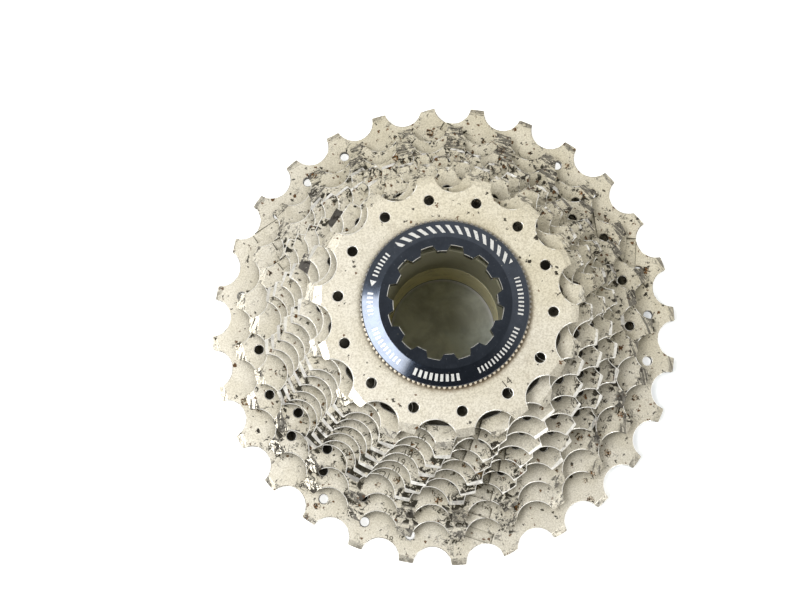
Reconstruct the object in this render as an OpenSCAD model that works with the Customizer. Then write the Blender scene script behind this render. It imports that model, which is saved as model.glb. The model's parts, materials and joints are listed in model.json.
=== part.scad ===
// Eleven-speed cassette sprocket stack for a road bicycle, held on a plastic transport core.
// Units are millimetres. +Z points outboard, towards the lock ring.
// The origin is on the stack axis, in the plane the core's foot rests on.

/* [Chain] */
// Distance between two chain rollers
chain_pitch = 12.7; // [12.7]
// Depth of the gullet floor below the pitch circle
root_drop = 3.9; // [3.8:0.05:4.0]
// Radius of the round gullet between two teeth
gullet_r = 4.7; // [4.4:0.05:4.8]

/* [Sprocket plates] */
// Thickness of every sprocket plate
plate_t = 1.6; // [1.5:0.05:1.7]
// Distance from one sprocket to the next
plate_step = 3.74; // [3.7:0.02:3.9]
// Width of the bevel around the tooth tips
tip_bevel = 0.45; // [0.2:0.05:0.6]
// Length of the facet on the outboard side of the tooth tips of the 23 and 25 tooth sprockets
long_facet = 2.3; // [1.0:0.1:2.6]
// Diameter of the round hole under a tooth
tooth_hole_d = 2.2; // [1.8:0.1:2.4]
// Distance from the gullet floor circle in to the hole centre
tooth_hole_inset = 1.6; // [1.5:0.1:1.8]
// The same distance on the 23 and 28 tooth sprockets
deep_hole_inset = 2.2; // [1.8:0.1:2.6]
// Width of a window in the 15 tooth sprocket, measured around the stack
window_w = 7.0; // [6.0:0.2:7.4]
// Depth of a shift ramp at its deep end
ramp_depth = 0.5; // [0.3:0.05:0.6]

/* [Core] */
// Radius of the open bore through the transport core
core_bore_r = 12.9; // [12.5:0.1:13.0]
// Radius of the core between its splines
core_root_r = 16.4; // [16.3:0.05:16.5]
// Radius of the core over its splines
core_spline_r = 17.5; // [17.3:0.05:17.6]
// Number of splines
spline_count = 9; // [9]
// Width of an ordinary spline
spline_w = 5.6; // [5.0:0.1:6.0]
// Width of the single narrow spline that sets the clocking
key_spline_w = 3.4; // [3.0:0.1:4.0]
// Running clearance around the core
core_gap = 0.08; // [0.05:0.01:0.1]
// Radius of the foot flange the stack rests on
foot_r = 19.6; // [19.0:0.1:20.0]
// Thickness of the foot flange
foot_t = 1.2; // [1.0:0.1:1.4]

/* [Spacers] */
// Outside radius of the spacer rings
spacer_r = 21.0; // [20.5:0.1:22.0]

/* [Carrier] */
// Number of carrier arms
arm_count = 6; // [5:1:7]
// Radius of the circle through the rivets
rivet_circle_r = 32.6; // [32.0:0.1:33.2]
// Radius of a rivet shank
rivet_r = 1.5; // [1.3:0.1:1.6]
// Width of a carrier arm
arm_w = 7.6; // [7.0:0.2:9.0]
// Outside radius of the carrier hub
carrier_hub_r = 22.4; // [22.0:0.1:23.5]

/* [Lock ring] */
// Outside radius of the lock ring flange
lock_r = 18.3; // [18.2:0.1:18.6]
// Height of the lock ring face above its seat
lock_face_h = 2.0; // [1.8:0.1:2.4]
// Radius of the tool socket between its notches
socket_r = 11.0; // [10.8:0.1:11.2]
// Radius of the tool socket at the bottom of its notches
notch_r = 12.3; // [12.0:0.1:12.4]
// Width of a notch where it opens into the socket
notch_mouth_w = 3.6; // [3.2:0.1:3.8]
// Width of a notch at its bottom
notch_floor_w = 2.2; // [2.0:0.1:2.8]
// Number of notches for the tool
notch_count = 12; // [12]
// Outside radius of the threaded tube
thread_r = 15.3; // [15.2:0.05:15.35]
// Height gained by one turn of the lock ring
thread_lead = 1.058; // [1.0:0.001:1.1]
// Number of fine teeth around the lock ring rim
rim_teeth = 102; // [90:2:114]

/* [Hidden] */
$fn = 64;
eps = 0.01;
fit_gap = 0.02;

// Tooth counts from the hub side outwards.
teeth = [28, 25, 23, 21, 20, 19, 18, 17, 16, 15, 14];
// Every sprocket has one tooth near the key spline. This is how far each one is turned from it.
key_angle = 212;
clock = [-1.2, 7.0, 3.8, -1.1, 0.1, -0.2, 0.1, -0.1, 0.4, -1.9, 3.7];

// Teeth that have a round hole below them on the three riveted sprockets.
holes_28 = [1, 2, 3, 10, 11, 12, 14, 15, 20, 21, 22, 24];
holes_25 = [0, 1, 9, 10, 11, 12, 13, 22, 23, 24];
holes_23 = [0, 11, 22];
// Gullets that start a shift ramp on each sprocket, and teeth that are cut low for shifting.
ramp_at = [[4, 12, 17, 22], [3, 11, 19], [3, 10, 18], [3, 16], [3, 15], [3, 14], [2, 13], [2, 12], [2, 11],
    [2, 10], []];
low_at = [[5, 13, 18, 23], [4, 12, 20], [4, 11, 19], [4, 17], [4, 16], [4, 15], [3, 14], [3, 13], [3, 12],
    [3, 11], []];
low_cut = 0.55;
low_skew = 14;
ramp_w = 2.6;
ramp_len = 8.4;
ramp_inset = 2.6;
ramp_turn = -28;

first_plate_z = 2.2;
gap_t = plate_step - plate_t;
top_plate_z = first_plate_z + 10 * plate_step;
top_face_z = top_plate_z + plate_t;

bore_root_r = core_root_r + core_gap;
bore_spline_r = core_spline_r + core_gap;

window_in_r = 21.7;
window_out_r = 25.5;
window_corner_r = 1.6;
window_lead = -2;

ring_inner_r = 38.2;
tab_r = 4.3;
ring_inner_23 = 35.4;
arm_z = first_plate_z + plate_t;
carrier_foot_r = 20.6;
carrier_top_z = first_plate_z + 2 * plate_step + plate_t;
rivet_head_r = 2.6;
rivet_head_h = 0.9;
collar_r = 3.3;

washer_t = 0.5;
washer_in_r = thread_r + 0.35;
washer_out_r = 17.9;
core_top_z = top_face_z - 0.7;
seat_z = top_face_z + washer_t;
thread_len = 5.2;
thread_wall_r = 13.1;
thread_groove = 0.45;
socket_lip_t = 2.4;
notch_phase = 5;
rim_h = 0.9;
rim_cut_r = 0.36;
rim_land = 0.35;
edge_break = 0.15;
cone_in_r = 14.3;
groove_rise = 0.35;
core_thread_r = thread_r + core_gap;
core_thread_depth = 5.6;

steel = [0.80, 0.77, 0.69];
dark_alloy = [0.11, 0.13, 0.18];
plastic = [0.42, 0.40, 0.27];
black_plastic = [0.14, 0.14, 0.14];

// Pitch circle radius of a sprocket with n teeth.
function pitch_r(n) = chain_pitch / (2 * sin(180 / n));

// Gullet floor radius of a sprocket with n teeth.
function root_r(n) = pitch_r(n) - root_drop;

// Tooth tip radius. Small sprockets have slightly lower teeth.
function tip_r(n) = pitch_r(n) - 0.1 + 0.46 * (n - 14) / 14;

// Height of the hub-side face of plate number i, counted from the hub side.
function plate_z(i) = first_plate_z + i * plate_step;

// Distance from the gullet floor in to the tooth holes of plate i.
function hole_inset(i) = i == 0 || i == 2 ? deep_hole_inset : tooth_hole_inset;

// Length and depth of the outboard facet on the tooth tips of plate i.
function facet_length(i) = i == 0 || i > 8 ? 3 * tip_bevel : (i < 3 ? long_facet : tip_bevel);
function facet_depth(i) = i == 0 || i > 2 ? 0.36 : 0.55;

// Angle of tooth number k on plate i.
function tooth_angle(i, k) = key_angle + clock[i] + k * 360 / teeth[i];

// Spline outline shared by the core and by everything that slides on it.
module spline_shape(root, crest, grow) {
    circle(r = root);
    for (k = [0 : spline_count - 1]) {
        w = (k == 0 ? key_spline_w : spline_w) + 2 * grow;
        rotate(key_angle + k * 360 / spline_count)
            intersection() {
                circle(r = crest);
                translate([root - 2, -w / 2])
                    square([crest - root + 3, w]);
            }
    }
}

module bore_shape() {
    spline_shape(bore_root_r, bore_spline_r, core_gap);
}

// Toothed disc outline with round gullets.
module toothed_disc(i) {
    n = teeth[i];
    difference() {
        circle(r = tip_r(n), $fn = 180);
        for (k = [0 : n - 1])
            rotate(tooth_angle(i, k + 0.5))
                translate([root_r(n) + gullet_r, 0])
                    circle(r = gullet_r);
    }
}

// Disc with bevelled edges that trims the tooth tips of plate i.
module tip_trim(i) {
    r = tip_r(teeth[i]);
    rotate_extrude($fn = 180)
        polygon([[0, 0], [r - tip_bevel, 0], [r, tip_bevel * 0.8], [r, plate_t - facet_depth(i)],
            [r - facet_length(i), plate_t], [0, plate_t]]);
}

// Sloping pocket in the outboard face that lifts the chain from the next smaller sprocket.
module ramp(i, k) {
    slope = asin(ramp_depth / ramp_len);
    rotate(tooth_angle(i, k + 0.5))
        translate([root_r(teeth[i]) - ramp_inset, -1.2, plate_t - 0.02])
            rotate([0, 0, ramp_turn])
                translate([-ramp_w / 2, -ramp_len / 2, 0])
                    rotate([-slope, 0, 0])
                        cube([ramp_w, ramp_len, ramp_depth + 2]);
}

// Slanting cut that takes the top off one tooth.
module low_tooth(i, k) {
    n = teeth[i];
    rotate(tooth_angle(i, k))
        translate([tip_r(n) - low_cut, 0, -1])
            rotate(low_skew)
                translate([0, -4, 0])
                    cube([4, 8, plate_t + 2]);
}

module tooth_hole(i, k) {
    rotate(tooth_angle(i, k))
        translate([root_r(teeth[i]) - hole_inset(i), 0, -1])
            cylinder(d = tooth_hole_d, h = plate_t + 2);
}

// Rounded window under tooth k of the 15 tooth sprocket, just outside the spacer.
module window(i, k) {
    w = window_w;
    c = window_corner_r;
    l = window_out_r - window_in_r;
    rotate(tooth_angle(i, k) + window_lead)
        translate([window_in_r, -w / 2, -1])
            linear_extrude(height = plate_t + 2) {
                translate([0, c])
                    square([l, w - 2 * c]);
                translate([c, 0])
                    square([l - 2 * c, w]);
                for (x = [c, l - c], y = [c, w - c])
                    translate([x, y])
                        circle(r = c);
            }
}

// Toothed plate with bevels, ramps, low teeth and holes, but still solid in the middle.
module plate_blank(i, hole_list) {
    difference() {
        intersection() {
            linear_extrude(height = plate_t)
                toothed_disc(i);
            tip_trim(i);
        }
        for (k = hole_list)
            tooth_hole(i, k);
        for (k = ramp_at[i])
            ramp(i, k);
        for (k = low_at[i])
            low_tooth(i, k);
    }
}

// Sprocket that slides straight onto the core splines.
module loose_sprocket(i) {
    translate([0, 0, plate_z(i)])
        difference() {
            plate_blank(i, [for (k = [0 : teeth[i] - 1]) k]);
            translate([0, 0, -1])
                linear_extrude(height = plate_t + 2)
                    bore_shape();
        }
}

// Spacer ring between plate i and plate i + 1.
module spacer(i) {
    translate([0, 0, plate_z(i) + plate_t])
        linear_extrude(height = gap_t)
            difference() {
                circle(r = spacer_r);
                bore_shape();
            }
}

function arm_angle(k) = key_angle + 20 + k * 360 / arm_count;

// Middle opening of a riveted sprocket, leaving one tab for each rivet.
module ring_opening(inner_r) {
    difference() {
        circle(r = inner_r);
        for (k = [0 : arm_count - 1])
            rotate(arm_angle(k)) {
                translate([rivet_circle_r, 0])
                    circle(r = tab_r);
                translate([rivet_circle_r, -tab_r])
                    square([inner_r - rivet_circle_r + 1, 2 * tab_r]);
            }
    }
}

module rivet_holes(h) {
    for (k = [0 : arm_count - 1])
        rotate(arm_angle(k))
            translate([rivet_circle_r, 0, -1])
                cylinder(r = rivet_r + fit_gap, h = h + 2);
}

module riveted_sprocket(i, inner_r, hole_list) {
    translate([0, 0, plate_z(i)])
        difference() {
            plate_blank(i, hole_list);
            translate([0, 0, -1])
                linear_extrude(height = plate_t + 2)
                    ring_opening(inner_r);
            rivet_holes(plate_t);
        }
}

// Core: splined tube with a foot flange, and a threaded mouth for the lock ring.
module hub_core() {
    color(plastic)
    difference() {
        union() {
            cylinder(r = foot_r, h = foot_t);
            linear_extrude(height = core_top_z)
                spline_shape(core_root_r, core_spline_r, 0);
        }
        translate([0, 0, -1])
            cylinder(r = core_bore_r, h = core_top_z + 2);
        translate([0, 0, core_top_z - core_thread_depth])
            cylinder(r = core_thread_r, h = core_thread_depth + 1);
        for (k = [0 : 3])
            translate([0, 0, core_top_z - core_thread_depth + 1.0 + k * thread_lead])
                rotate_extrude()
                    polygon([[core_thread_r - eps, 0],
                        [core_thread_r + thread_groove, thread_lead * groove_rise],
                        [core_thread_r - eps, 2 * thread_lead * groove_rise]]);
    }
}

// Carrier: splined hub with arms that lie between the two largest sprockets.
module carrier() {
    color(black_plastic)
    difference() {
        union() {
            translate([0, 0, foot_t])
                cylinder(r1 = carrier_foot_r, r2 = carrier_hub_r, h = arm_z - foot_t);
            translate([0, 0, arm_z])
                cylinder(r = carrier_hub_r, h = carrier_top_z - arm_z);
            translate([0, 0, arm_z])
                linear_extrude(height = gap_t)
                    for (k = [0 : arm_count - 1])
                        rotate(arm_angle(k)) {
                            translate([rivet_circle_r, 0])
                                circle(d = arm_w);
                            translate([carrier_hub_r - 2, -arm_w / 2])
                                square([rivet_circle_r - carrier_hub_r + 2, arm_w]);
                        }
        }
        translate([0, 0, -1])
            linear_extrude(height = carrier_top_z + 2)
                bore_shape();
        translate([0, 0, arm_z])
            rivet_holes(gap_t);
    }
}

module sprocket_28t() {
    color(steel) riveted_sprocket(0, ring_inner_r, holes_28);
}

module sprocket_25t() {
    color(steel) riveted_sprocket(1, ring_inner_r, holes_25);
}

module sprocket_23t() {
    color(steel) riveted_sprocket(2, ring_inner_23, holes_23);
}

// Rivets through the three large sprockets and the carrier arms.
module rivets() {
    color(steel)
    for (k = [0 : arm_count - 1])
        rotate(arm_angle(k))
            translate([rivet_circle_r, 0, 0]) {
                translate([0, 0, first_plate_z])
                    cylinder(r = rivet_r, h = carrier_top_z - first_plate_z);
                translate([0, 0, first_plate_z - rivet_head_h])
                    cylinder(r1 = rivet_head_r - 0.5, r2 = rivet_head_r, h = rivet_head_h);
                translate([0, 0, carrier_top_z])
                    cylinder(r1 = rivet_head_r, r2 = rivet_head_r - 0.5, h = rivet_head_h);
            }
}

// Small collars that hold the two upper riveted sprockets apart.
module rivet_collars() {
    color(steel)
    for (k = [0 : arm_count - 1])
        rotate(arm_angle(k))
            translate([rivet_circle_r, 0, plate_z(1) + plate_t])
                difference() {
                    cylinder(r = collar_r, h = gap_t);
                    translate([0, 0, -1])
                        cylinder(r = rivet_r + fit_gap, h = gap_t + 2);
                }
}

module spacer_23_21() {
    color(black_plastic) spacer(2);
}

module sprocket_21t() {
    color(steel) loose_sprocket(3);
}

module spacer_21_20() {
    color(black_plastic) spacer(3);
}

module sprocket_20t() {
    color(steel) loose_sprocket(4);
}

module spacer_20_19() {
    color(black_plastic) spacer(4);
}

module sprocket_19t() {
    color(steel) loose_sprocket(5);
}

module spacer_19_18() {
    color(black_plastic) spacer(5);
}

module sprocket_18t() {
    color(steel) loose_sprocket(6);
}

module spacer_18_17() {
    color(black_plastic) spacer(6);
}

module sprocket_17t() {
    color(steel) loose_sprocket(7);
}

module spacer_17_16() {
    color(black_plastic) spacer(7);
}

module sprocket_16t() {
    color(steel) loose_sprocket(8);
}

module spacer_16_15() {
    color(black_plastic) spacer(8);
}

// This sprocket has windows where the others have holes.
module sprocket_15t() {
    color(steel)
    translate([0, 0, plate_z(9)])
        difference() {
            plate_blank(9, []);
            translate([0, 0, -1])
                linear_extrude(height = plate_t + 2)
                    bore_shape();
            for (k = [0 : teeth[9] - 1])
                window(9, k);
        }
}

// Smallest sprocket. Its spacer is a boss in one piece with the plate.
module sprocket_14t() {
    color(steel)
    difference() {
        union() {
            translate([0, 0, plate_z(10)])
                plate_blank(10, [for (k = [0 : teeth[10] - 1]) k]);
            translate([0, 0, plate_z(9) + plate_t])
                cylinder(r = spacer_r, h = gap_t);
        }
        translate([0, 0, plate_z(9)])
            linear_extrude(height = 2 * plate_step)
                bore_shape();
    }
}

module lock_ring_washer() {
    color(steel)
    translate([0, 0, top_face_z])
        difference() {
            cylinder(r = washer_out_r, h = washer_t);
            translate([0, 0, -1])
                cylinder(r = washer_in_r, h = washer_t + 2);
        }
}

// Notches of the tool socket, narrower towards their bottoms.
module tool_notches() {
    translate([0, 0, -2])
        linear_extrude(height = 6)
            intersection() {
                circle(r = notch_r);
                for (k = [0 : notch_count - 1])
                    rotate(key_angle + notch_phase + k * 360 / notch_count)
                        polygon([[socket_r - 1, -notch_mouth_w / 2], [socket_r, -notch_mouth_w / 2],
                            [notch_r + 0.1, -notch_floor_w / 2], [notch_r + 0.1, notch_floor_w / 2],
                            [socket_r, notch_mouth_w / 2], [socket_r - 1, notch_mouth_w / 2]]);
            }
}

// Lock ring: coned flange with a finely toothed rim, tool socket and threaded tube.
module lock_ring() {
    groove_count = 4;
    tube_bottom = -washer_t - thread_len;
    color(dark_alloy)
    translate([0, 0, seat_z])
        difference() {
            rotate_extrude($fn = 180)
                polygon([[socket_r, lock_face_h - socket_lip_t], [thread_wall_r, lock_face_h - socket_lip_t],
                    [thread_wall_r, tube_bottom], [thread_r - 0.4, tube_bottom],
                    [thread_r, tube_bottom + 0.4], [thread_r, 0], [lock_r - edge_break, 0],
                    [lock_r, edge_break], [lock_r, rim_h],
                    [lock_r - rim_land, rim_h + 0.2], [cone_in_r, lock_face_h], [socket_r, lock_face_h]]);
            for (k = [0 : rim_teeth - 1])
                rotate(k * 360 / rim_teeth)
                    translate([lock_r + 0.1, 0, -1])
                        cylinder(r = rim_cut_r, h = lock_face_h, $fn = 16);
            tool_notches();
            for (k = [0 : groove_count - 1])
                translate([0, 0, tube_bottom + 0.9 + k * thread_lead])
                    rotate_extrude()
                        polygon([[thread_r + eps, 0], [thread_r - thread_groove, thread_lead * groove_rise],
                            [thread_r + eps, 2 * thread_lead * groove_rise]]);
        }
}

hub_core();
carrier();
sprocket_28t();
sprocket_25t();
sprocket_23t();
rivets();
rivet_collars();
spacer_23_21();
sprocket_21t();
spacer_21_20();
sprocket_20t();
spacer_20_19();
sprocket_19t();
spacer_19_18();
sprocket_18t();
spacer_18_17();
sprocket_17t();
spacer_17_16();
sprocket_16t();
spacer_16_15();
sprocket_15t();
sprocket_14t();
lock_ring_washer();
lock_ring();
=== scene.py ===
import json
import math
import random

import bmesh
import bpy
from mathutils import Matrix, Vector


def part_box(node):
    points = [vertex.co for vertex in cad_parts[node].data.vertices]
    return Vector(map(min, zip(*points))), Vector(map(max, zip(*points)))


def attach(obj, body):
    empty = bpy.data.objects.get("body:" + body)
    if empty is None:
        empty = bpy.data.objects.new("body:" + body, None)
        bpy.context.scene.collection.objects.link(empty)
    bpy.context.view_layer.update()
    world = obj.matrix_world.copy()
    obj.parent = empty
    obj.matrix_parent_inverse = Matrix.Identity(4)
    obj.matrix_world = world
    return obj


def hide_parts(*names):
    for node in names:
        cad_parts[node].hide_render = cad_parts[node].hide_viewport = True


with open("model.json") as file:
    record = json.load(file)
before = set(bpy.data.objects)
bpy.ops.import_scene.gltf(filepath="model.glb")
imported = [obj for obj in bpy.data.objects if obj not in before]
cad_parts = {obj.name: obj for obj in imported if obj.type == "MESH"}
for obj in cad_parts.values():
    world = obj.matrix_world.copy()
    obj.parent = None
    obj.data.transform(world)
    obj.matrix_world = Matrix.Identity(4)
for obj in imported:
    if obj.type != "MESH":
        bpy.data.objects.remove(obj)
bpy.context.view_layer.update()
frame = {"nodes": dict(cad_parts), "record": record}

# ---------------------------------------------------------------- sizes, in millimetres and degrees
MM = 0.001
KEY = 212.0                      # angle of the narrow spline and of every sprocket's marker tooth
PITCH, ROOT_DROP, GULLET = 12.7, 3.9, 4.7
PLATE_T, TOOTH_HOLE_R = 1.6, 1.1
TOOTH_LEAN = 0.12                # how far a tip may slope from one flank to the other
LOW_TIP = (0.25, 1.0)            # a low tooth's drop at its two flanks
TIP_CORNER, GULLET_STEPS = 0.2, 18
SPLINES, SPLINE_W, KEY_W = 9, 5.6, 3.4
CORE_ROOT, CORE_CREST, GAP = 16.4, 17.5, 0.08
SPACER_R, SPACER_EDGE, BOSS_OVERLAP = 21.0, 0.15, 0.2
SPACER_INSET = 0.01              # keeps a spacer's faces just clear of the plates beside it
ARMS, RIVET_CIRCLE, RIVET_R, RIVET_HOLE_R, RIVET_TAB = 6, 32.6, 1.5, 1.52, 4.3
HEAD_H, HEAD_R = 0.9, 2.6        # rivet heads
ARM_HALF, ARM_Z, ARM_T, ARM_EDGE = 3.8, 3.8, 2.14, 0.3
CORE_BORE, CORE_FOOT, THREAD_R = 12.9, 1.2, 15.38
TUBE_R, TUBE_WALL = 15.3, 13.1   # lock ring's threaded tube
THREAD_TURNS, THREAD_LEAD, THREAD_DEPTH = 4, 1.058, 0.45
SOCKET_R, NOTCH_DEPTH, NOTCHES, NOTCH_AT = 11.0, 1.3, 12, 7.0
RIM_TEETH, RIM_TOOTH_DEPTH = 102, 0.34

# node: teeth, clocking, low teeth, ramp gullets, front facet (length, depth), grime, stamped tooth
# The order is from the bottom of the stack up.
PLATES = {
    "sprocket_28t": (28, -1.2, [5, 13, 18, 23], [4, 12, 17, 22], (1.5, 0.40), 0.4, 3),
    "sprocket_25t": (25, 7.0, [4, 12, 20], [3, 11, 19], (2.3, 0.55), 0.8, 2),
    "sprocket_23t": (23, 3.8, [4, 11, 19], [3, 10, 18], (2.3, 0.55), 1.0, 2),
    "sprocket_21t": (21, -1.1, [4, 17], [3, 16], (0.9, 0.35), 1.0, 2),
    "sprocket_20t": (20, 0.1, [4, 16], [3, 15], (0.7, 0.32), 0.95, 2),
    "sprocket_19t": (19, -0.2, [4, 15], [3, 14], (0.7, 0.32), 0.9, 2),
    "sprocket_18t": (18, 0.1, [3, 14], [2, 13], (0.7, 0.32), 0.8, 2),
    "sprocket_17t": (17, -0.1, [3, 13], [2, 12], (0.7, 0.32), 0.7, 2),
    "sprocket_16t": (16, 0.4, [3, 12], [2, 11], (0.7, 0.32), 0.6, 2),
    "sprocket_15t": (15, -1.9, [3, 11], [2, 10], (1.5, 0.42), 0.45, 2),
    "sprocket_14t": (14, 3.7, [], [], (1.7, 0.42), 0.06, 3),
}
HOLES = {
    "sprocket_28t": [1, 2, 3, 10, 11, 12, 14, 15, 20, 21, 22, 24],
    "sprocket_25t": [0, 1, 9, 10, 11, 12, 13, 22, 23, 24],
    "sprocket_23t": [0, 11, 22],
    "sprocket_15t": [],
}
HOLE_INSET = {"sprocket_28t": 2.2, "sprocket_25t": 1.6, "sprocket_23t": 2.2}
RINGS = {"sprocket_28t": 38.2, "sprocket_25t": 38.2, "sprocket_23t": 35.4}
SMALLEST = min(row[0] for row in PLATES.values())
WINDOWED = "sprocket_15t"
BLACKENED, DARK_TEETH = "sprocket_17t", (13, 14)
DARK_FACETS = (127.6, 149.0)     # angles where those two facets are black
AO_SAMPLES = 6
# From the record: the body each node rides on
BODY = {n: b for b, ns in frame["record"]["behaviour"]["bodies"].items() for n in ns}


def box_mm(node):
    lo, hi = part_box(node)
    return lo / MM, hi / MM


def polar(r, a):
    return (r * math.cos(a), r * math.sin(a))


def turn(count):
    return [i * 2 * math.pi / count for i in range(count)]


def circle(r, count, cx=0.0, cy=0.0):
    return [(cx + r * math.cos(a), cy + r * math.sin(a)) for a in turn(count)]


def arc(r, a0, a1, count):
    return [polar(r, a0 + (a1 - a0) * i / (count - 1)) for i in range(count)]


def rotated(points, a):
    ux, uy = math.cos(a), math.sin(a)
    return [(x * ux - y * uy, x * uy + y * ux) for x, y in points]


def shortened(p, limit):
    """The point p, pulled in to the radius limit where it lies outside it."""
    r = math.hypot(*p)
    return p if r < limit else (p[0] * limit / r, p[1] * limit / r)


def half_turn(a):
    """An angle brought between minus and plus half a turn."""
    return (a + math.pi) % (2 * math.pi) - math.pi


# ---------------------------------------------------------------- outlines
def pitch_radius(n):
    return PITCH / (2 * math.sin(math.pi / n))


def root_radius(n):
    return pitch_radius(n) - ROOT_DROP


def tip_radius(n):
    return pitch_radius(n) - 0.1 + 0.46 * (n - 14) / 14


def tooth_angle(node, k):
    n, clock = PLATES[node][:2]
    return math.radians(KEY + clock + k * 360 / n)


def tooth_loop(node, rng):
    """Outline of a sprocket: round chain gullets, and tips that lean a little or are cut low."""
    n, _, low = PLATES[node][:3]
    root, tip = root_radius(n), tip_radius(n)
    centre = root + GULLET
    d = math.acos((centre ** 2 + tip ** 2 - GULLET ** 2) / (2 * centre * tip))
    half = math.pi / n
    t = half - d
    sweep = math.pi - math.atan2(tip * math.sin(d), tip * math.cos(d) - centre) - TIP_CORNER / GULLET
    pts = []
    for k in range(n):
        a = tooth_angle(node, k)
        lean = rng.uniform(-TOOTH_LEAN, TOOTH_LEAN)
        drop = LOW_TIP if k in low else (0.0, 0.0)

        def on_tip(p):
            s = max(-1.0, min(1.0, half_turn(math.atan2(p[1], p[0]) - a) / t))
            cap = tip - (drop[0] + drop[1]) / 2 - s * (drop[1] - drop[0]) / 2 - abs(lean) / 2 - s * lean / 2
            return shortened(p, cap)

        corner = TIP_CORNER / tip
        pts += [on_tip(p) for p in arc(tip, a - t + corner, a + t - corner, 5)]
        g = a + half
        gx, gy = polar(centre, g)
        for i in range(GULLET_STEPS + 1):
            e = g + math.pi + sweep * (1 - 2 * i / GULLET_STEPS)
            p = (gx + GULLET * math.cos(e), gy + GULLET * math.sin(e))
            if i < GULLET_STEPS / 3:
                p = on_tip(p)
            elif i > GULLET_STEPS * 2 / 3 and (k + 1) % n in low:
                p = shortened(p, tip - LOW_TIP[0])
            pts.append(p)
    return pts


def spline(k):
    """Angle and half width of spline k. The first one is the narrow key."""
    return math.radians(KEY + k * 360 / SPLINES), (SPLINE_W if k % SPLINES else KEY_W) / 2


def bore_loop():
    """Splined bore that clears the core by the gap."""
    root, crest = CORE_ROOT + GAP, CORE_CREST + GAP
    pts = []
    for k in range(SPLINES):
        (a, w), (following, w_next) = spline(k), spline(k + 1)
        w, w_next = w + GAP, w_next + GAP
        pts += arc(crest, a - math.asin(w / crest), a + math.asin(w / crest), 6)
        pts += arc(root, a + math.asin(w / root), following - math.asin(w_next / root), 4)
    return pts


def arm_angle(k):
    return math.radians(KEY + 20 + k * 360 / ARMS)


def rivet_holes():
    return [circle(RIVET_HOLE_R, 20, *polar(RIVET_CIRCLE, arm_angle(k))) for k in range(ARMS)]


def window_loop(node, k):
    """Rounded window below tooth k: its width, corner radius and inner and outer radius."""
    w, c, r0, r1 = 7.0, 1.6, 21.7, 25.5
    pts = []
    for x, y, start in ((r1 - c, w / 2 - c, 0), (r0 + c, w / 2 - c, 90), (r0 + c, c - w / 2, 180),
                        (r1 - c, c - w / 2, 270)):
        for j in range(6):
            f = math.radians(start + j * 18)
            pts.append((x + c * math.cos(f), y + c * math.sin(f)))
    return rotated(pts, tooth_angle(node, k) - math.radians(2))


def ring_loop(inner):
    """Middle opening of a riveted sprocket: a circle with a rounded tab for each rivet."""
    e = math.asin(RIVET_TAB / inner)
    pts = []
    for k in range(ARMS):
        a, b = arm_angle(k), arm_angle(k + 1)
        ux, uy = math.cos(a), math.sin(a)
        cx, cy = polar(RIVET_CIRCLE, a)
        for i in range(13):
            f = math.pi / 2 + math.pi * i / 12
            x, y = RIVET_TAB * math.cos(f), RIVET_TAB * math.sin(f)
            pts.append((cx + x * ux + y * uy, cy + x * uy - y * ux))
        pts += arc(inner, a + e, b - e, 14)
    return pts


# ---------------------------------------------------------------- mesh tools (all in millimetres)
def temp_object(data):
    ob = bpy.data.objects.new("tmp", data)
    bpy.context.scene.collection.objects.link(ob)
    return ob


def evaluated(ob):
    dg = bpy.context.evaluated_depsgraph_get()
    dg.update()
    return bpy.data.meshes.new_from_object(ob.evaluated_get(dg))


def weld(me, dist=1e-4):
    bm = bmesh.new()
    bm.from_mesh(me)
    bmesh.ops.remove_doubles(bm, verts=bm.verts, dist=dist)
    bmesh.ops.dissolve_degenerate(bm, edges=bm.edges, dist=dist)
    bmesh.ops.recalc_face_normals(bm, faces=bm.faces)
    bm.to_mesh(me)
    bm.free()
    return me


def plate(loops, z0, z1, bevel=0.22, res=2):
    """Flat plate with rounded edges, from one outer loop and its holes."""
    cu = bpy.data.curves.new("tmp", "CURVE")
    cu.dimensions = "2D"
    cu.fill_mode = "BOTH"
    for pts in loops:
        sp = cu.splines.new("POLY")
        sp.points.add(len(pts) - 1)
        for p, q in zip(sp.points, pts):
            p.co = (q[0], q[1], 0, 1)
        sp.use_cyclic_u = True
    cu.bevel_depth = bevel
    cu.bevel_resolution = res
    cu.offset = -bevel
    cu.extrude = (z1 - z0) / 2 - bevel
    ob = temp_object(cu)
    me = evaluated(ob)
    bpy.data.objects.remove(ob)
    me.transform(Matrix.Translation((0, 0, (z0 + z1) / 2)))
    return weld(me)


def boxes(specs):
    """One mesh of separate boxes. Each spec is a matrix and the low and high corner in its frame."""
    bm = bmesh.new()
    for m, lo, hi in specs:
        vs = [bm.verts.new(m @ Vector((x, y, z))) for z in (lo[2], hi[2]) for y in (lo[1], hi[1])
              for x in (lo[0], hi[0])]
        for f in ((0, 2, 3, 1), (4, 5, 7, 6), (0, 1, 5, 4), (2, 6, 7, 3), (0, 4, 6, 2), (1, 3, 7, 5)):
            bm.faces.new([vs[i] for i in f])
    me = bpy.data.meshes.new("tmp")
    bm.to_mesh(me)
    bm.free()
    return me


def boolean(me, other, operation="DIFFERENCE"):
    a, b = temp_object(me), temp_object(other)
    mod = a.modifiers.new("cut", "BOOLEAN")
    mod.operation = operation
    mod.solver = "EXACT"
    mod.object = b
    out = evaluated(a)
    bpy.data.objects.remove(a)
    bpy.data.objects.remove(b)
    return weld(out)


def joined(*meshes):
    bm = bmesh.new()
    for me in meshes:
        bm.from_mesh(me)
    out = bpy.data.meshes.new("tmp")
    bm.to_mesh(out)
    bm.free()
    return out


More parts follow.
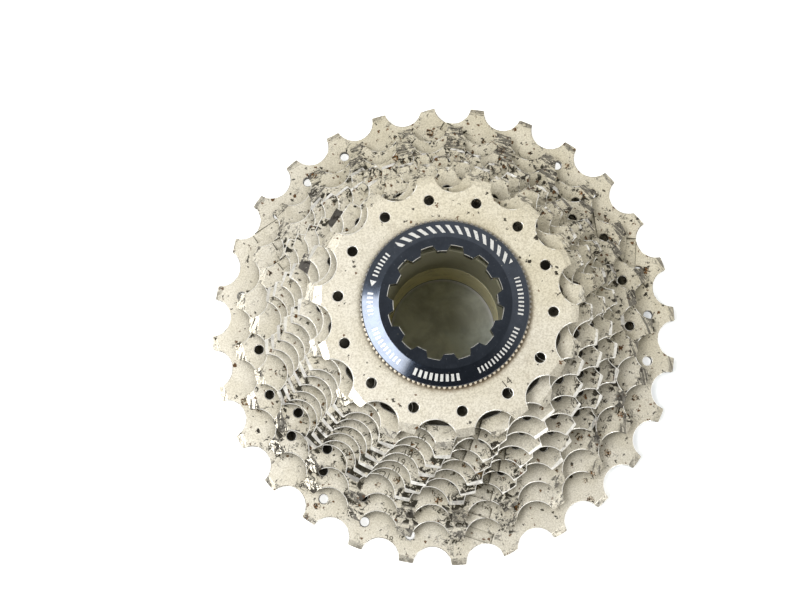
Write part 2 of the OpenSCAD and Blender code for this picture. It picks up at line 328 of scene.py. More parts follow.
def lathe(profile, angles, radius=lambda r, tag, a: r, second=()):
    """Closed profile of (r, z, tag) turned through the angles. radius(r, tag, angle) bends each point.

    The profile segments listed in second get the second material.
    """
    profile = [(*p, "")[:3] for p in profile]
    bm = bmesh.new()
    rows = []
    for a in angles:
        rows.append([bm.verts.new((*polar(radius(r, tag, a), a), z)) for r, z, tag in profile])
    count = len(profile)
    for j, row in enumerate(rows):
        following = rows[(j + 1) % len(rows)]
        for i in range(count):
            f = bm.faces.new((row[i], following[i], following[(i + 1) % count], row[(i + 1) % count]))
            f.material_index = int(i in second)
    bmesh.ops.recalc_face_normals(bm, faces=bm.faces)
    me = bpy.data.meshes.new("tmp")
    bm.to_mesh(me)
    bm.free()
    return me


def add(name, me, node, material, sharp=32, **values):
    """Puts a finished mesh in the scene in place of a CAD node, riding on its body.

    Flat faces and edges bent more than sharp degrees stay crisp. The values become object properties that the
    materials read.
    """
    me.name = name
    me.transform(Matrix.Scale(MM, 4))
    bm = bmesh.new()
    bm.from_mesh(me)
    for f in bm.faces:
        f.smooth = abs(f.normal.z) < 0.9995
    for e in bm.edges:
        level = all(abs(f.normal.z) > 0.85 for f in e.link_faces)
        limit = math.radians(9 if level else sharp)
        e.smooth = len(e.link_faces) == 2 and e.calc_face_angle(0) < limit
    bm.to_mesh(me)
    bm.free()
    kinds = [f.material_index for f in me.polygons]
    me.materials.clear()
    for m in material if isinstance(material, list) else [material]:
        me.materials.append(m)
    me.polygons.foreach_set("material_index", [min(k, len(me.materials) - 1) for k in kinds])
    ob = bpy.data.objects.new(name, me)
    bpy.context.scene.collection.objects.link(ob)
    for k, v in values.items():
        ob[k] = float(v)
    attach(ob, BODY[node])
    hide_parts(node)


# ---------------------------------------------------------------- shader tools
class Value:
    """A shader number or vector that adds, subtracts, multiplies and divides like a number."""

    def __init__(self, shader, socket):
        self.shader, self.socket = shader, socket
        self.is_vector = socket.type != "VALUE"

    def __add__(self, other):
        return (self.shader.vector if self.is_vector else self.shader.math)("ADD", self, other)

    def __sub__(self, other):
        return self.shader.math("SUBTRACT", self, other)

    def __rsub__(self, other):
        return self.shader.math("SUBTRACT", other, self)

    def __mul__(self, other):
        if self.is_vector:
            return self.shader.vector("SCALE", self, other)
        return self.shader.math("MULTIPLY", self, other)

    def __truediv__(self, other):
        return self.shader.math("DIVIDE", self, other)

    __radd__, __rmul__ = __add__, __mul__


class Shader:
    """A material, or a world's tree, with short names for the nodes used here."""

    def __init__(self, name="", tree=None):
        if tree is None:
            self.mat = bpy.data.materials.new(name)
            self.mat.use_nodes = True
            tree = self.mat.node_tree
            tree.nodes.clear()
            self.out = tree.nodes.new("ShaderNodeOutputMaterial")
        self.tree = tree

    def put(self, socket, value):
        if isinstance(value, Value):
            self.tree.links.new(value.socket, socket)
        elif isinstance(value, tuple) and socket.type == "RGBA":
            socket.default_value = (*value, 1.0)
        else:
            socket.default_value = value

    def fill(self, node, *values):
        for socket, value in zip(node.inputs, values):
            self.put(socket, value)
        return Value(self, node.outputs[0])

    def node(self, kind, **inputs):
        n = self.tree.nodes.new(kind)
        for k, v in inputs.items():
            self.put(n.inputs[k.replace("_", " ")], v)
        return n

    def get(self, kind, output, **inputs):
        return Value(self, self.node(kind, **inputs).outputs[output])

    def math(self, op, a, b=0.0):
        n = self.tree.nodes.new("ShaderNodeMath")
        n.operation = op
        return self.fill(n, a, b)

    def vector(self, op, a, b):
        n = self.tree.nodes.new("ShaderNodeVectorMath")
        n.operation = op
        self.put(n.inputs[0], a)
        self.put(n.inputs["Scale" if op == "SCALE" else 1], b)
        return Value(self, n.outputs["Value" if op == "DOT_PRODUCT" else "Vector"])

    def most(self, first, *others):
        for other in others:
            first = self.math("MAXIMUM", first, other)
        return first

    def size_of(self, x):
        return self.math("ABSOLUTE", x)

    def combine(self, x, y, z):
        return self.get("ShaderNodeCombineXYZ", 0, X=x, Y=y, Z=z)

    def parts(self, vec):
        n = self.node("ShaderNodeSeparateXYZ", Vector=vec)
        return [Value(self, out) for out in n.outputs]

    def noise(self, vec, scale, detail=3.0, rough=0.55, distort=0.0, colour=False):
        return self.get("ShaderNodeTexNoise", "Color" if colour else "Fac", Vector=vec, Scale=scale,
                        Detail=detail, Roughness=rough, Distortion=distort)

    def step(self, x, low, high, a=0.0, b=1.0):
        """Smooth change from a to b while x goes from low to high."""
        n = self.tree.nodes.new("ShaderNodeMapRange")
        n.interpolation_type = "SMOOTHSTEP"
        return self.fill(n, x, low, high, a, b)

    def mix(self, fac, a, b, blend="MIX"):
        n = self.tree.nodes.new("ShaderNodeMix")
        n.data_type, n.blend_type = "RGBA", blend
        for i, v in ((0, fac), (6, a), (7, b)):
            self.put(n.inputs[i], v)
        return Value(self, n.outputs[2])

    def tint(self, fac, colour, by):
        """Colour multiplied by another, as far as fac says."""
        return self.mix(fac, colour, self.mix(1.0, colour, by, "MULTIPLY"))

    def prop(self, name):
        n = self.tree.nodes.new("ShaderNodeAttribute")
        n.attribute_type, n.attribute_name = "OBJECT", name
        return Value(self, n.outputs["Fac"])

    def coordinates(self, kind):
        return self.get("ShaderNodeTexCoord", kind)

    def place(self):
        """Object position in millimetres, its distance from the axis, its angle and its height."""
        co = self.coordinates("Object") * 1000.0
        x, y, z = self.parts(co)
        return co, self.math("SQRT", x * x + y * y), self.math("ARCTAN2", y, x), z

    def around(self, angle, at, inner, outer):
        """One within inner degrees of the angle at, falling to zero at outer degrees."""
        c = self.math("COSINE", angle - math.radians(at))
        return self.step(c, math.cos(math.radians(outer)), math.cos(math.radians(inner)))

    def spots(self, vec, scale, biggest, share):
        """Irregular spots and a random number for each.

        biggest is the largest radius in millimetres, and share is the share of cells that hold a spot.
        """
        n = self.node("ShaderNodeTexVoronoi", Vector=vec, Scale=scale, Randomness=1.0)
        rnd = self.node("ShaderNodeSeparateColor", Color=Value(self, n.outputs["Color"])).outputs
        size = self.step(Value(self, rnd[0]), 1.0 - share, 1.0, 0.0, biggest * scale)
        return self.step(size - Value(self, n.outputs["Distance"]), 0.0, 0.06 * scale), Value(self, rnd[1])

    def ao(self, distance):
        n = self.node("ShaderNodeAmbientOcclusion", Distance=distance)
        n.samples = AO_SAMPLES
        return Value(self, n.outputs["AO"])

    def bump(self, height, distance, strength=1.0):
        return self.get("ShaderNodeBump", 0, Height=height, Distance=distance, Strength=strength)

    def surface(self, **inputs):
        n = self.node("ShaderNodeBsdfPrincipled", **inputs)
        self.tree.links.new(n.outputs[0], self.out.inputs[0])
        return self.mat


# ---------------------------------------------------------------- nickel plate
# Stretches of the stack where grease has settled: middle angle, half width, half width where it ends, amount
GREASY = ((85, 25, 70, 0.85), (324, 4, 20, 0.85), (214, 6, 34, 1.0), (262, 8, 28, 0.9), (30, 20, 60, 0.85))
SHADY_SIDE = (48, 45, 85)
# Colours of dirt, and of painted shade: the shade in crevices, in creases, around the lock ring, under the next
# sprocket and on the side walls. The foot colour is dirt with painted contact shadow.
DIRT_AND_SHADE = {
    "veil": (0.32, 0.285, 0.20), "patch": (0.028, 0.027, 0.027), "line": (0.018, 0.016, 0.014),
    "flank": (0.022, 0.019, 0.015), "foot": (0.018, 0.016, 0.012), "big speck": (0.02, 0.016, 0.012),
    "big rusty speck": (0.10, 0.045, 0.014), "speck": (0.022, 0.017, 0.012), "rusty speck": (0.115, 0.052, 0.018),
    "rust stain": (0.46, 0.33, 0.17), "rust core": (0.014, 0.009, 0.005), "rust": (0.20, 0.085, 0.024),
    "crevice": (0.15, 0.122, 0.04), "crease": (0.035, 0.03, 0.018), "halo": (0.20, 0.135, 0.07),
    "film": (0.035, 0.031, 0.022), "wall": (0.045, 0.04, 0.03), "facet": (0.07, 0.064, 0.055),
    "black facet": (0.035, 0.030, 0.026), "edge": (0.10, 0.075, 0.05), "cap": (0.17, 0.15, 0.12),
}
# Near-white of edges rubbed bare, also used as a painted highlight on the bevels.
BARE_EDGE_AND_HIGHLIGHT = (0.97, 0.96, 0.92)


class Nickel(Shader):
    """Dull nickel plate with fine grain, specks, rust and old chain grease, and with painted shade and painted
    highlights.
    """

    def __init__(self, name):
        super().__init__(name)
        self.co, self.r, self.ang, self.z = self.place()
        self.nz = self.parts(self.coordinates("Normal"))[2]
        self.grime, self.edge_dirt = self.prop("grime"), self.prop("edge_dirt")
        self.above_root = self.r - self.prop("root_mm")
        self.past_cover = self.r - self.prop("hidden_mm")
        seed = self.prop("seed")
        self.vec = self.co + self.combine(seed, seed * 1.7, self.z * -0.7)
        zone = self.most(*(self.around(self.ang, *where) * amount for *where, amount in GREASY))
        self.dirty = self.grime * (zone * 0.7 + 0.3)
        self.right = self.around(self.ang, *SHADY_SIDE)
        self.mess = []

    def soil(self, col, mask, amount, kind):
        """Lays a dark layer over the colour and keeps its mask, because dirt is dull and stands proud."""
        self.mess.append(mask)
        return self.mix(mask * amount, col, DIRT_AND_SHADE[kind])

    def plating(self, base, dark):
        col = self.mix(self.step(self.noise(self.vec, 0.11, 4.0, 0.6), 0.35, 0.7), base, dark)
        self.grain = self.noise(self.vec, 2.7, 3.0, 0.7)
        speckle = self.mix(self.step(self.grain, 0.34, 0.62), (0.74, 0.72, 0.68), (1.05, 1.05, 1.05))
        return self.mix(0.9, col, speckle, "MULTIPLY")

    def grease(self, col):
        """Thin veil, black patches, fine lines, dirt on tooth flanks, and dirt with painted contact shadow in front
        of the next teeth.
        """
        vec, dirty, right = self.vec, self.dirty, self.right
        veil = self.step(self.noise(vec, 0.2, 5.0, 0.65, 0.6), 0.46, 0.70) * dirty
        col = self.mix(veil * 0.5, col, DIRT_AND_SHADE["veil"])
        warped = vec + self.noise(vec, 1.1, 2.0, colour=True) * 0.8
        patch = self.noise(vec * 0.9 + warped * 0.3, 0.42, 8.0, 0.72, 1.1) + dirty * 0.15
        col = self.soil(col, self.step(patch, 0.725, 0.75), 0.93, "patch")
        line = 1.0 - self.step(self.size_of(self.noise(warped, 0.42, 3.0, 0.62, 1.0) - 0.5), 0.010, 0.036)
        line = line * self.step(self.noise(vec, 0.3, 3.0), 0.54, 0.60) * self.step(dirty, 0.1, 0.5) * 0.92
        col = self.soil(col, line, 1.0, "line")
        flank = self.noise(vec, 0.62, 6.0, 0.68, 0.9) + dirty * 0.17 - right * 0.035
        flank = self.step(flank, 0.645, 0.70) * self.step(self.above_root, 0.4, 2.4)
        col = self.soil(col, flank, 0.95, "flank")
        # Dirt and painted contact shadow on the plate just outside the next sprocket's tips, most beside its teeth
        # and on the shady side.
        beside = (self.ang - self.prop("next_at")) * self.prop("next_n")
        beside = self.most(self.step(self.math("COSINE", beside), -0.5, 0.35), right * 0.5)
        foot = self.noise(vec, 0.48, 6.0, 0.66, 0.8) + dirty * 0.16 - right * 0.01 - (1.0 - beside) * 0.2
        foot = self.step(self.size_of(self.past_cover - 5.2), 0.6, 1.5, 1.0, 0.0) * self.step(foot, 0.60, 0.64)
        return self.soil(col, foot, 0.96, "foot")

    def specks(self, col):
        """Specks of two sizes, black or rusty, and clusters of rust in a pale brown stain."""
        vec = self.vec
        few = 0.3 + self.right * 0.45 + self.dirty * 0.9 + self.step(self.edge_dirt, 0.3, 0.8) * 0.25
        crumb = vec + self.noise(vec, 1.6, 3.0, 0.7, colour=True) * 1.6
        sizes = (("big ", 0.36, 0.6, 0.5, 0.97), ("", 0.8, 0.42, 0.6, 0.92))
        for size, scale, radius, share, amount in sizes:
            speck, pick = self.spots(crumb, scale, radius, few * share)
            self.mess.append(speck)
            kind = self.mix(self.step(pick, 0.5, 0.55), DIRT_AND_SHADE[size + "speck"], DIRT_AND_SHADE[size + "rusty speck"])
            col = self.mix(speck * amount, col, kind)
        rust = self.spots(crumb, 0.31, 1.1, 0.36)[0] * self.step(self.grime, 0.0, 0.3)
        col = self.mix(rust * 0.25, col, DIRT_AND_SHADE["rust stain"])
        rust = rust * self.step(self.noise(vec, 1.4, 3.0, 0.7), 0.44, 0.50)
        self.mess.append(rust)
        core = self.step(self.noise(vec, 2.0, 2.0, 0.6), 0.47, 0.62)
        return self.mix(rust * 0.95, col, self.mix(core, DIRT_AND_SHADE["rust core"], DIRT_AND_SHADE["rust"]))

    def shade(self, col):
        """Painted shade: a warmer tint on the shady side, brown shade in corners, dark shade in creases, a brown
        ring of shade around the lock ring, and dark shade where the next sprocket covers the plate.
        """
        vec = self.vec
        # Painted shade: the shady side is tinted warmer.
        col = self.tint(self.right, col, (1.0, 0.985, 0.925))
        open_sky = self.ao(0.0045)
        # Painted shade: corners where little sky is open turn a warm olive-brown.
        crevice = 1.0 - self.step(open_sky, 0.1, 0.9)
        col = self.tint(crevice, col, (1.0, 0.965, 0.85))
        col = self.mix(crevice * (0.66 - self.right * 0.24), col, DIRT_AND_SHADE["crevice"])
        # Painted shade: a dark, ragged line in the creases beside the plates above.
        ragged = (self.noise(vec, 1.1, 4.0, 0.7) - 0.5) * 0.35
        col = self.mix((1.0 - self.step(open_sky + ragged, 0.44, 0.64)) * 0.8, col, DIRT_AND_SHADE["crease"])
        # Painted shade: a brown ring on the plate just around the lock ring, strongest toward the lower right.
        halo = self.step(self.r + self.noise(vec, 1.4, 4.0, 0.7) * -1.6, 17.2, 18.6, 1.0, 0.0)
        col = self.mix(halo * (0.12 + self.around(self.ang, 295, 25, 85) * 0.6), col, DIRT_AND_SHADE["halo"])
        # Painted shade: a dark layer over the part of the plate that the next sprocket covers, on its flat faces.
        film = self.step(self.noise(vec, 0.16, 5.0, 0.65, 0.5), 0.36, 0.66, 0.55, 0.93)
        film = (1.0 - self.step(self.past_cover, -0.6, 0.0)) * film * self.step(self.size_of(self.nz), 0.3, 0.6)
        return self.mix(film, col, DIRT_AND_SHADE["film"])

    def edges(self, col):
        """Side walls darkened as painted shade, worn facets, and edges rubbed bare by the chain and painted
        near-white as a highlight.
        """
        vec, ang, nz, right = self.vec, self.ang, self.nz, self.right
        smear = self.noise(self.combine(ang * 60.0, self.z * 1.2, self.r), 1.0, 4.0, 0.65)
        # Painted shade: the side walls are darkened in streaks, a little more where the stack is greasy.
        wall = (1.0 - self.step(nz, 0.1, 0.35)) * self.step(smear, 0.35, 0.6, 0.6, 0.97)
        col = self.mix(wall * self.step(self.dirty, 0.0, 0.3, 0.7, 1.0), col, DIRT_AND_SHADE["wall"])
        bevel = self.step(nz, 0.15, 0.35) * self.step(nz, 0.90, 0.97, 1.0, 0.0)
        slope = self.step(nz, 0.86, 0.90) * self.step(nz, 0.98, 0.992, 1.0, 0.0)
        worn = self.noise(vec + self.combine(0.0, self.r * 2.2, 0.0), 0.7, 5.0, 0.7)
        worn = worn + (self.dirty * 0.1 + self.around(ang, 25, 30, 60) * 0.05)
        worn = slope * self.step(worn, 0.55, 0.61)
        col = self.mix(worn * self.step(self.grime, 0.0, 0.6, 0.15, 0.85), col, DIRT_AND_SHADE["facet"])
        black = self.most(*(self.around(ang, at, 3.4, 4.6) for at in DARK_FACETS))
        black = black * slope * self.prop("black_tips")
        black = black * self.step(self.noise(vec, 0.6, 4.0, 0.65, 0.6), 0.36, 0.46, 0.25, 0.95)
        col = self.mix(black, col, DIRT_AND_SHADE["black facet"])
        # Edges rubbed bare, painted near-white as a highlight, less often on the shady side.
        bare = bevel * self.step(self.noise(vec, 0.5, 3.0), 0.28 + right * 0.22, 0.38 + right * 0.22)
        col = self.mix(bare * 0.95, col, BARE_EDGE_AND_HIGHLIGHT)
        soiled = self.edge_dirt * self.step(self.noise(vec, 0.35, 4.0, 0.65), 0.42, 0.56)
        soiled = soiled * (1.0 - self.around(ang, 318, 30, 50) * 0.85)
        col = self.mix(bevel * soiled * 0.9, col, DIRT_AND_SHADE["edge"])
        cap = self.step(self.above_root, 2.9, 3.5) * self.step(nz, 0.985, 0.998, 1.0, 0.2)
        cap = cap * self.step(self.noise(vec, 0.5, 6.0, 0.7, 0.5), 0.44, 0.60)
        col = self.mix(cap * self.edge_dirt * 0.75, col, DIRT_AND_SHADE["cap"])
        self.bright = self.most(bare, slope - worn) * (1.0 - self.most(right * 0.8, black))
        return col


def nickel(name, base, dark, metallic=0.35, rough=0.52):
    s = Nickel(name)
    col = s.edges(s.shade(s.specks(s.grease(s.plating(base, dark)))))
    mess = s.most(*s.mess)
    clean = 1.0 - mess * 0.85
    roughness = rough + (s.noise(s.vec, 0.8, 3.0) - 0.5) * 0.25 - s.bright * 0.2
    height = s.grain * 0.5 + mess * 0.6
    return s.surface(Base_Color=col, Roughness=roughness, Metallic=(metallic + s.bright * 0.35) * clean,
                     Specular_IOR_Level=clean * 0.5, Normal=s.bump(height, 0.00004, 0.8))


# ---------------------------------------------------------------- lock ring
# Pale marks around the lock ring: first and last angle, spacing, share filled, inner and outer radius, slant
MARKS = (
    (20, 118, 7.0, 0.44, 15.05, 16.85, 2.6), (127, 149, 3.1, 0.42, 15.4, 16.6, 0.0),
    (160, 178, 3.3, 0.45, 15.4, 16.6, 0.0), (188, 222, 3.4, 0.42, 15.4, 16.6, 0.0),
    (233, 270, 4.1, 0.55, 15.25, 16.75, 0.0), (283, 330, 3.1, 0.42, 15.4, 16.6, 0.0),
    (338, 359, 3.1, 0.42, 15.4, 16.6, 0.0), (0, 8, 3.1, 0.42, 15.4, 16.6, 0.0),
)
ARROW_TIP, ARROW_FOOT, ARROW_R, ARROW_SLOPE = 156.0, 151.5, 16.0, 0.16


def printed_marks(s, r, ang):
    """Plain bars and one arrow printed around the cone."""
    deg = s.math("FLOORED_MODULO", ang * (180 / math.pi), 360.0)
    total = 0.0
    for a0, a1, pitch, share, r0, r1, slant in MARKS:
        u = s.math("FRACT", (deg - (r - r0) * slant - a0) / pitch)
        bar = s.math("LESS_THAN", s.size_of(u - 0.5), share / 2)
        for value, low, high in ((deg, a0, a1), (r, r0, r1)):
            bar = bar * s.math("GREATER_THAN", value, low) * s.math("LESS_THAN", value, high)
        total = s.most(total, bar)
    arrow = s.math("LESS_THAN", s.size_of(r - ARROW_R), (ARROW_TIP - deg) * ARROW_SLOPE)
    return s.most(total, arrow * s.math("GREATER_THAN", deg, ARROW_FOOT))


def anodised(bare=False):
    """Gloss dark blue-black lock ring with turning lines, rubbed edges, pale printed marks, and painted shade in
    the gaps of its toothed rim.
    """
    s = Shader("lock ring bare edge" if bare else "lock ring anodised")
    co, r, ang, z = s.place()
    col = s.mix(s.step(s.noise(co, 0.5, 4.0), 0.35, 0.7), (0.022, 0.032, 0.052), (0.034, 0.046, 0.070))
    scuff = s.step(s.noise(s.combine(r * 1.2, ang * 34.0, 0.0), 1.0, 6.0, 0.7), 0.56, 0.74)
    col = s.mix(scuff * 0.28, col, (0.25, 0.26, 0.28))
    col = s.mix(s.spots(co, 0.9, 0.18, 0.2)[0] * 0.6, col, (0.45, 0.43, 0.38))
    rubbed = s.noise(co, 1.3, 3.0, 0.6)
    if bare:
        col = s.mix(s.step(rubbed, 0.30, 0.42), col, (0.88, 0.87, 0.84))
    on_rim = s.step(r, 17.80, 17.86)
    rim = on_rim * s.step(rubbed, 0.25, 0.45, 0.6, 1.0)
    col = s.mix(rim * s.most(s.around(ang, 255, 60, 100), 0.3), col, (0.66, 0.58, 0.45))
    # Painted shade: the gaps between the rim's teeth are dark.
    gap = s.step(s.math("COSINE", ang * float(RIM_TEETH)), -0.4, 0.2, 1.0, 0.0)
    col = s.mix(gap * on_rim, col, (0.022, 0.018, 0.014))
    ink = printed_marks(s, r, ang) * s.step(s.noise(co, 2.6, 2.0), 0.3, 0.4, 0.55, 1.0)
    ink = ink * s.math("GREATER_THAN", z, 40.0)
    col = s.mix(ink, col, (0.66, 0.66, 0.64))
    matt = s.most(ink, rim)
    turned = s.noise(s.combine(r * 9.0, 0.0, z * 9.0), 1.0, 3.0)
    return s.surface(Base_Color=col, Metallic=0.9 - matt * 0.7, Coat_Weight=0.9, Coat_Roughness=0.1,
                     Roughness=0.16 + scuff * 0.2 + matt * 0.25,
                     Normal=s.bump(turned + scuff * 0.5, 0.000006, 0.5))


# ---------------------------------------------------------------- plastics and bench
def plastic(name, light, dark, rough, wear):
    """Moulded plastic with faint mottling, smears and dust."""
    s = Shader(name)
    co, r, ang, z = s.place()
    col = s.mix(s.step(s.noise(co, 0.3, 4.0, 0.6), 0.35, 0.68), light, dark)
    streak = s.noise(s.combine(ang * 22.0, z * 0.22, r), 1.0, 4.0, 0.65)
    col = s.mix(s.step(streak, 0.55, 0.75) * 0.35, col, dark)
    col = s.mix(s.spots(co, 0.5, 0.25, 0.2)[0] * 0.6, col, wear)
    height = s.noise(co, 1.6, 4.0, 0.7)
    return s.surface(Base_Color=col, Roughness=rough + height * 0.15, Normal=s.bump(height, 0.00004, 0.6))


def core_plastic():
    """Olive plastic of the transport core, its bore painted in two tones of light and shade, pale low down and dark
    above, and its foot painted dark as shade.
    """
    s = Shader("core plastic")
    co, r, _, z = s.place()
    # Painted light and shade: the bore wall is pale below the groove and dark above it.
    low = s.step(z, 15.2, 15.5, 1.0, 0.0) * s.step(r, 13.2, 13.6, 1.0, 0.0)
    col = s.mix(low, (0.30, 0.29, 0.20), (0.80, 0.74, 0.47))
    col = s.mix(s.step(s.noise(co, 0.35, 5.0, 0.6), 0.5, 0.75) * 0.35, col, (0.22, 0.20, 0.12))
    speck, _ = s.spots(co + s.noise(co, 0.8, 2.0, colour=True) * 1.2, 0.22, 0.5, 0.22)
    col = s.mix(speck * 0.8, col, (0.05, 0.045, 0.03))
    # Painted shade: the foot turns dark where the core meets the bench, with little specular there.
    rim = 1.0 - s.step(z, 0.6, 1.2)
    col = s.mix(rim * 0.92, col, (0.02, 0.02, 0.015))
    height = s.noise(co, 0.9, 4.0, 0.6)
    return s.surface(Base_Color=col, Roughness=0.36 + height * 0.2, Specular_IOR_Level=(1.0 - rim) * 0.5,
                     Normal=s.bump(height, 0.00005, 0.5))


def bench():
    """Pale bench, painted in shade inside the bore with smears and crumbs, with a faint blue-grey painted shadow
    beside the stack, and glowing around the stack so that it reads as white.
    """
    s = Shader("bench")
    co, r, ang, _ = s.place()
    col = s.mix(s.noise(co, 0.012, 4.0, 0.6), (0.86, 0.865, 0.85), (0.90, 0.90, 0.885))
    col = s.mix(s.spots(co, 0.06, 0.6, 0.08)[0] * 0.35, col, (0.45, 0.43, 0.38))
    # Painted shade inside the bore: the bench there is dark olive-grey, with smears and crumbs.
    smear = s.step(s.noise(co, 0.11, 6.0, 0.62, 0.4), 0.36, 0.64, 0.50, 0.78)
    crumbs, _ = s.spots(co + s.noise(co, 0.9, 2.0, colour=True) * 2.0, 0.13, 0.7, 0.4)
    smear = smear * (1.0 - crumbs * 0.9)
    col = s.mix(s.step(r, 12.0, 13.0, 1.0, 0.0), col, s.mix(smear, (0.0, 0.0, 0.0), (0.90, 0.93, 0.83)))
    # Painted shadow: a faint blue-grey shade on the bench beside the stack, toward the lower right, which also dims
    # the glow.
    side_shadow = s.around(ang, 325, 12, 50) * s.step(r, 53.0, 68.0, 1.0, 0.0)
    side_shadow = side_shadow * s.step(s.noise(co, 0.07, 3.0, 0.5), 0.38, 0.62, 0.35, 1.0)
    col = s.tint(side_shadow, col, (0.93, 0.96, 1.0))
    # Painted light: the bench glows from under the largest sprocket's holes outward, a little less beyond them.
    painted_glow = s.step(r, 43.0, 48.0, 0.0, 0.92) - s.step(r, 53.0, 58.0, 0.0, 0.32)
    return s.surface(Base_Color=col, Roughness=0.65, Normal=s.bump(s.noise(co, 0.7, 4.0, 0.6), 0.00005, 0.3),
                     Emission_Color=col, Emission_Strength=painted_glow * (1.0 - side_shadow * 0.5))


STEEL = nickel("sprocket nickel", (0.72, 0.685, 0.595), (0.655, 0.615, 0.51))
STAMPED = nickel("stamped number", (0.22, 0.20, 0.16), (0.13, 0.12, 0.10))
RIVET_STEEL = nickel("rivet steel", (0.60, 0.58, 0.53), (0.50, 0.47, 0.41), rough=0.32)
DARK_ALLOY = plastic("carrier finish", (0.030, 0.031, 0.034), (0.018, 0.018, 0.020), 0.33, (0.16, 0.15, 0.13))
BLACK = plastic("spacer plastic", (0.022, 0.022, 0.022), (0.012, 0.012, 0.012), 0.5, (0.12, 0.11, 0.09))
CORE = core_plastic()
RING = anodised()
RING_EDGE = anodised(bare=True)


# ---------------------------------------------------------------- sprockets
FACET_HALF, FACET_REACH, FACET_H = 3.4, 5, 3


def facet(node, k, top, length, depth, skew, side=1):
    """Frame of a box whose floor is a slanting facet at the tip of tooth k."""
    tip = tip_radius(PLATES[node][0])
    m = Matrix.Rotation(tooth_angle(node, k), 4, "Z") @ Matrix.Translation((tip - length, 0, top))
    m = m @ Matrix.Rotation(math.radians(skew), 4, "Z")
    m = m @ Matrix.Rotation(side * math.atan2(depth, length), 4, "Y")
    z0, z1 = sorted((0, side * FACET_H))
    return m, (0, -FACET_HALF, z0), (length + FACET_REACH, FACET_HALF, z1)


def ramp(node, k, top, depth=0.5, width=2.6, length=8.4):
    """Frame of a box whose floor slopes down from the face, like a shift ramp."""
    foot = root_radius(PLATES[node][0]) - 2.6
    m = Matrix.Rotation(tooth_angle(node, k + 0.5), 4, "Z") @ Matrix.Translation((foot, -1.2, top))
    m = m @ Matrix.Rotation(math.radians(-28), 4, "Z") @ Matrix.Translation((-width / 2, -length / 2, -0.02))
    return m @ Matrix.Rotation(-math.asin(depth / length), 4, "X"), (0, 0, 0), (width, length, 2)


def stamp(node, top, size=2.3, depth=0.12):
    """Solid of the tooth count, standing through the plate's outboard face beside the marked tooth."""
    n, marked = PLATES[node][0], PLATES[node][-1]
    cu = bpy.data.curves.new("tmp", "FONT")
    cu.body, cu.size, cu.extrude = str(n), size, depth
    cu.align_x, cu.align_y, cu.resolution_u = "CENTER", "CENTER", 2
    ob = temp_object(cu)
    me = evaluated(ob)
    bpy.data.objects.remove(ob)
    r, angle = root_radius(n) - 0.2, tooth_angle(node, marked) - math.radians(150 / n)
    if n == SMALLEST:
        r, angle = 21.2, math.radians(296)
    me.transform(Matrix.Translation((*polar(r, angle), top)) @ Matrix.Rotation(angle + math.pi / 2, 4, "Z"))
    return weld(me)


def plate_loops(node, rng):
    """Teeth, bore or riveted ring, then every hole and window of a sprocket."""
    n = PLATES[node][0]
    loops = [tooth_loop(node, rng), ring_loop(RINGS[node]) if node in RINGS else bore_loop()]
    for k in HOLES.get(node, range(n)):
        centre = polar(root_radius(n) - HOLE_INSET.get(node, 1.6), tooth_angle(node, k))
        loops.append(circle(TOOTH_HOLE_R, 20, *centre))
    if node == WINDOWED:
        loops += [window_loop(node, k) for k in range(n)]
    return loops + (rivet_holes() if node in RINGS else [])


def plate_cuts(node, z0, z1, rng):
    """Facets at the tips, front and back, and the shift ramps."""
    n, _, _, ramps, (length, depth), _, _ = PLATES[node]
    cuts = [facet(node, k, z1, length * rng.uniform(0.85, 1.15), depth, rng.uniform(-9, 9)) for k in range(n)]
    if node == BLACKENED:
        cuts += [facet(node, k, z1, 2.4, 0.5, 6) for k in DARK_TEETH]
    cuts += [facet(node, k, z0, length * 0.7, depth * 0.7, rng.uniform(-6, 6), -1) for k in range(n)]
    return cuts + [ramp(node, k, z1) for k in ramps]


def sprocket(node, above, seed):
    """One sprocket. Its material is told how far the sprocket above covers it, and where that one's teeth are."""
    n, grime = PLATES[node][0], PLATES[node][5]
    rng = random.Random(seed)
    lo, hi = box_mm(node)
    z1 = hi[2]
    z0 = z1 - PLATE_T
    me = plate(plate_loops(node, rng), z0, z1)
    me = boolean(me, boxes(plate_cuts(node, z0, z1, rng)))
    mark = stamp(node, z1)
    for solid in (me, mark):
        solid.materials.append(None)
        solid.materials.append(None)
    for f in mark.polygons:
        f.material_index = 1
    me = boolean(me, mark)
    if n == SMALLEST:
        boss = plate([circle(SPACER_R, 96), bore_loop()], lo[2], z0 + BOSS_OVERLAP, SPACER_EDGE)
        me = boolean(me, boss, "UNION")
    next_n = PLATES[above][0]
    add(node + "_teeth", me, node, [STEEL, STAMPED], seed=seed * 37.3, grime=grime, root_mm=root_radius(n),
        hidden_mm=root_radius(next_n) - 0.9 if n > SMALLEST else 0, edge_dirt=0.8 if n == 28 else 0.3,
        black_tips=node == BLACKENED, next_n=next_n, next_at=tooth_angle(above, 0))


order = list(PLATES)
for i, plate_node in enumerate(order):
    sprocket(plate_node, order[min(i + 1, len(order) - 1)], i + 1)

# ---------------------------------------------------------------- spacers
for spacer_node in [n for n in frame["nodes"] if n.startswith("spacer_")]:
    low, high = box_mm(spacer_node)
    ring = plate([circle(SPACER_R, 96), bore_loop()], low[2] + SPACER_INSET, high[2] - SPACER_INSET, SPACER_EDGE)
    add(spacer_node + "_ring", ring, spacer_node, BLACK)


